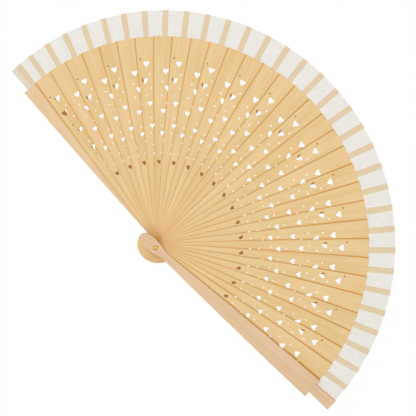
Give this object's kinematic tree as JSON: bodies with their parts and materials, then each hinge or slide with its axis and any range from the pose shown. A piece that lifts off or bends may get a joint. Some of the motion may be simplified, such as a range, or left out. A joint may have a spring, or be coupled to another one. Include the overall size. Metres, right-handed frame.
{
  "type": "folding hand fan",
  "caption": "Open folding hand fan: overlapping pierced wooden ribs between two guard sticks on a brass rivet, with a narrow cotton leaf along the outer edge.",
  "frame": {"origin": "the rivet's axis where it meets the plane of the back guard's outer face", "axes": "+Z along the rivet from the back guard to the front guard, +Y along the middle of the open fan, +X towards the front guard's side"},
  "size_m": [0.4296, 0.233, 0.0318],
  "materials": {
    "guard_wood": "smooth sanded, unvarnished, close straight grain",
    "rib_wood": "thin sliced wood, satin, fine straight grain",
    "leaf_cotton": "thin plain-weave cotton, matt, lets the wood show through",
    "rivet_brass": "polished"
  },
  "bodies": {
    "back_guard": {"back_guard": "guard_wood", "rivet": "rivet_brass", "rivet_washer": "rivet_brass", "leaf": "leaf_cotton"},
    "rib_01": {"rib_01": "rib_wood"},
    "rib_02": {"rib_02": "rib_wood"},
    "rib_03": {"rib_03": "rib_wood"},
    "rib_04": {"rib_04": "rib_wood"},
    "rib_05": {"rib_05": "rib_wood"},
    "rib_06": {"rib_06": "rib_wood"},
    "rib_07": {"rib_07": "rib_wood"},
    "rib_08": {"rib_08": "rib_wood"},
    "rib_09": {"rib_09": "rib_wood"},
    "rib_10": {"rib_10": "rib_wood"},
    "rib_11": {"rib_11": "rib_wood"},
    "rib_12": {"rib_12": "rib_wood"},
    "rib_13": {"rib_13": "rib_wood"},
    "rib_14": {"rib_14": "rib_wood"},
    "rib_15": {"rib_15": "rib_wood"},
    "rib_16": {"rib_16": "rib_wood"},
    "rib_17": {"rib_17": "rib_wood"},
    "rib_18": {"rib_18": "rib_wood"},
    "rib_19": {"rib_19": "rib_wood"},
    "rib_20": {"rib_20": "rib_wood"},
    "rib_21": {"rib_21": "rib_wood"},
    "rib_22": {"rib_22": "rib_wood"},
    "rib_23": {"rib_23": "rib_wood"},
    "rib_24": {"rib_24": "rib_wood"},
    "rib_25": {"rib_25": "rib_wood"},
    "rib_26": {"rib_26": "rib_wood"},
    "rib_27": {"rib_27": "rib_wood"},
    "rib_28": {"rib_28": "rib_wood"},
    "rib_29": {"rib_29": "rib_wood"},
    "rib_30": {"rib_30": "rib_wood"},
    "rib_31": {"rib_31": "rib_wood"},
    "rib_32": {"rib_32": "rib_wood"},
    "front_guard": {"front_guard": "guard_wood"}
  },
  "joints": [
    {"name": "fan_opening", "type": "hinge", "parent": "back_guard", "child": "front_guard", "pos_m": [0, 0, 0], "axis": [0, 0, 1], "range_deg": [0, 170.8], "deforming": ["leaf"]},
    {"name": "rib_01_turn", "type": "hinge", "parent": "back_guard", "child": "rib_01", "pos_m": [0, 0, 0], "axis": [0, 0, 1], "range_deg": [0, 4.4]},
    {"name": "rib_02_turn", "type": "hinge", "parent": "back_guard", "child": "rib_02", "pos_m": [0, 0, 0], "axis": [0, 0, 1], "range_deg": [0, 9.66]},
    {"name": "rib_03_turn", "type": "hinge", "parent": "back_guard", "child": "rib_03", "pos_m": [0, 0, 0], "axis": [0, 0, 1], "range_deg": [0, 14.91]},
    {"name": "rib_04_turn", "type": "hinge", "parent": "back_guard", "child": "rib_04", "pos_m": [0, 0, 0], "axis": [0, 0, 1], "range_deg": [0, 20.16]},
    {"name": "rib_05_turn", "type": "hinge", "parent": "back_guard", "child": "rib_05", "pos_m": [0, 0, 0], "axis": [0, 0, 1], "range_deg": [0, 25.41]},
    {"name": "rib_06_turn", "type": "hinge", "parent": "back_guard", "child": "rib_06", "pos_m": [0, 0, 0], "axis": [0, 0, 1], "range_deg": [0, 30.65]},
    {"name": "rib_07_turn", "type": "hinge", "parent": "back_guard", "child": "rib_07", "pos_m": [0, 0, 0], "axis": [0, 0, 1], "range_deg": [0, 35.89]},
    {"name": "rib_08_turn", "type": "hinge", "parent": "back_guard", "child": "rib_08", "pos_m": [0, 0, 0], "axis": [0, 0, 1], "range_deg": [0, 41.12]},
    {"name": "rib_09_turn", "type": "hinge", "parent": "back_guard", "child": "rib_09", "pos_m": [0, 0, 0], "axis": [0, 0, 1], "range_deg": [0, 46.34]},
    {"name": "rib_10_turn", "type": "hinge", "parent": "back_guard", "child": "rib_10", "pos_m": [0, 0, 0], "axis": [0, 0, 1], "range_deg": [0, 51.57]},
    {"name": "rib_11_turn", "type": "hinge", "parent": "back_guard", "child": "rib_11", "pos_m": [0, 0, 0], "axis": [0, 0, 1], "range_deg": [0, 56.78]},
    {"name": "rib_12_turn", "type": "hinge", "parent": "back_guard", "child": "rib_12", "pos_m": [0, 0, 0], "axis": [0, 0, 1], "range_deg": [0, 62]},
    {"name": "rib_13_turn", "type": "hinge", "parent": "back_guard", "child": "rib_13", "pos_m": [0, 0, 0], "axis": [0, 0, 1], "range_deg": [0, 67.21]},
    {"name": "rib_14_turn", "type": "hinge", "parent": "back_guard", "child": "rib_14", "pos_m": [0, 0, 0], "axis": [0, 0, 1], "range_deg": [0, 72.41]},
    {"name": "rib_15_turn", "type": "hinge", "parent": "back_guard", "child": "rib_15", "pos_m": [0, 0, 0], "axis": [0, 0, 1], "range_deg": [0, 77.61]},
    {"name": "rib_16_turn", "type": "hinge", "parent": "back_guard", "child": "rib_16", "pos_m": [0, 0, 0], "axis": [0, 0, 1], "range_deg": [0, 82.81]},
    {"name": "rib_17_turn", "type": "hinge", "parent": "back_guard", "child": "rib_17", "pos_m": [0, 0, 0], "axis": [0, 0, 1], "range_deg": [0, 88]},
    {"name": "rib_18_turn", "type": "hinge", "parent": "back_guard", "child": "rib_18", "pos_m": [0, 0, 0], "axis": [0, 0, 1], "range_deg": [0, 93.18]},
    {"name": "rib_19_turn", "type": "hinge", "parent": "back_guard", "child": "rib_19", "pos_m": [0, 0, 0], "axis": [0, 0, 1], "range_deg": [0, 98.36]},
    {"name": "rib_20_turn", "type": "hinge", "parent": "back_guard", "child": "rib_20", "pos_m": [0, 0, 0], "axis": [0, 0, 1], "range_deg": [0, 103.54]},
    {"name": "rib_21_turn", "type": "hinge", "parent": "back_guard", "child": "rib_21", "pos_m": [0, 0, 0], "axis": [0, 0, 1], "range_deg": [0, 108.71]},
    {"name": "rib_22_turn", "type": "hinge", "parent": "back_guard", "child": "rib_22", "pos_m": [0, 0, 0], "axis": [0, 0, 1], "range_deg": [0, 113.88]},
    {"name": "rib_23_turn", "type": "hinge", "parent": "back_guard", "child": "rib_23", "pos_m": [0, 0, 0], "axis": [0, 0, 1], "range_deg": [0, 119.04]},
    {"name": "rib_24_turn", "type": "hinge", "parent": "back_guard", "child": "rib_24", "pos_m": [0, 0, 0], "axis": [0, 0, 1], "range_deg": [0, 124.2]},
    {"name": "rib_25_turn", "type": "hinge", "parent": "back_guard", "child": "rib_25", "pos_m": [0, 0, 0], "axis": [0, 0, 1], "range_deg": [0, 129.35]},
    {"name": "rib_26_turn", "type": "hinge", "parent": "back_guard", "child": "rib_26", "pos_m": [0, 0, 0], "axis": [0, 0, 1], "range_deg": [0, 134.5]},
    {"name": "rib_27_turn", "type": "hinge", "parent": "back_guard", "child": "rib_27", "pos_m": [0, 0, 0], "axis": [0, 0, 1], "range_deg": [0, 139.65]},
    {"name": "rib_28_turn", "type": "hinge", "parent": "back_guard", "child": "rib_28", "pos_m": [0, 0, 0], "axis": [0, 0, 1], "range_deg": [0, 144.79]},
    {"name": "rib_29_turn", "type": "hinge", "parent": "back_guard", "child": "rib_29", "pos_m": [0, 0, 0], "axis": [0, 0, 1], "range_deg": [0, 149.92]},
    {"name": "rib_30_turn", "type": "hinge", "parent": "back_guard", "child": "rib_30", "pos_m": [0, 0, 0], "axis": [0, 0, 1], "range_deg": [0, 155.05]},
    {"name": "rib_31_turn", "type": "hinge", "parent": "back_guard", "child": "rib_31", "pos_m": [0, 0, 0], "axis": [0, 0, 1], "range_deg": [0, 160.18]},
    {"name": "rib_32_turn", "type": "hinge", "parent": "back_guard", "child": "rib_32", "pos_m": [0, 0, 0], "axis": [0, 0, 1], "range_deg": [0, 165.3]}
  ],
  "couplings": [
    {"joint": "rib_01_turn", "follows": "fan_opening", "ratio": 0.025761},
    {"joint": "rib_02_turn", "follows": "fan_opening", "ratio": 0.056552},
    {"joint": "rib_03_turn", "follows": "fan_opening", "ratio": 0.087315},
    {"joint": "rib_04_turn", "follows": "fan_opening", "ratio": 0.11805},
    {"joint": "rib_05_turn", "follows": "fan_opening", "ratio": 0.14876},
    {"joint": "rib_06_turn", "follows": "fan_opening", "ratio": 0.17944},
    {"joint": "rib_07_turn", "follows": "fan_opening", "ratio": 0.2101},
    {"joint": "rib_08_turn", "follows": "fan_opening", "ratio": 0.24073},
    {"joint": "rib_09_turn", "follows": "fan_opening", "ratio": 0.27133},
    {"joint": "rib_10_turn", "follows": "fan_opening", "ratio": 0.30191},
    {"joint": "rib_11_turn", "follows": "fan_opening", "ratio": 0.33246},
    {"joint": "rib_12_turn", "follows": "fan_opening", "ratio": 0.36298},
    {"joint": "rib_13_turn", "follows": "fan_opening", "ratio": 0.39348},
    {"joint": "rib_14_turn", "follows": "fan_opening", "ratio": 0.42395},
    {"joint": "rib_15_turn", "follows": "fan_opening", "ratio": 0.45439},
    {"joint": "rib_16_turn", "follows": "fan_opening", "ratio": 0.4848},
    {"joint": "rib_17_turn", "follows": "fan_opening", "ratio": 0.51519},
    {"joint": "rib_18_turn", "follows": "fan_opening", "ratio": 0.54555},
    {"joint": "rib_19_turn", "follows": "fan_opening", "ratio": 0.57589},
    {"joint": "rib_20_turn", "follows": "fan_opening", "ratio": 0.6062},
    {"joint": "rib_21_turn", "follows": "fan_opening", "ratio": 0.63648},
    {"joint": "rib_22_turn", "follows": "fan_opening", "ratio": 0.66673},
    {"joint": "rib_23_turn", "follows": "fan_opening", "ratio": 0.69696},
    {"joint": "rib_24_turn", "follows": "fan_opening", "ratio": 0.72716},
    {"joint": "rib_25_turn", "follows": "fan_opening", "ratio": 0.75733},
    {"joint": "rib_26_turn", "follows": "fan_opening", "ratio": 0.78748},
    {"joint": "rib_27_turn", "follows": "fan_opening", "ratio": 0.8176},
    {"joint": "rib_28_turn", "follows": "fan_opening", "ratio": 0.84769},
    {"joint": "rib_29_turn", "follows": "fan_opening", "ratio": 0.87776},
    {"joint": "rib_30_turn", "follows": "fan_opening", "ratio": 0.9078},
    {"joint": "rib_31_turn", "follows": "fan_opening", "ratio": 0.93781},
    {"joint": "rib_32_turn", "follows": "fan_opening", "ratio": 0.9678}
  ]
}
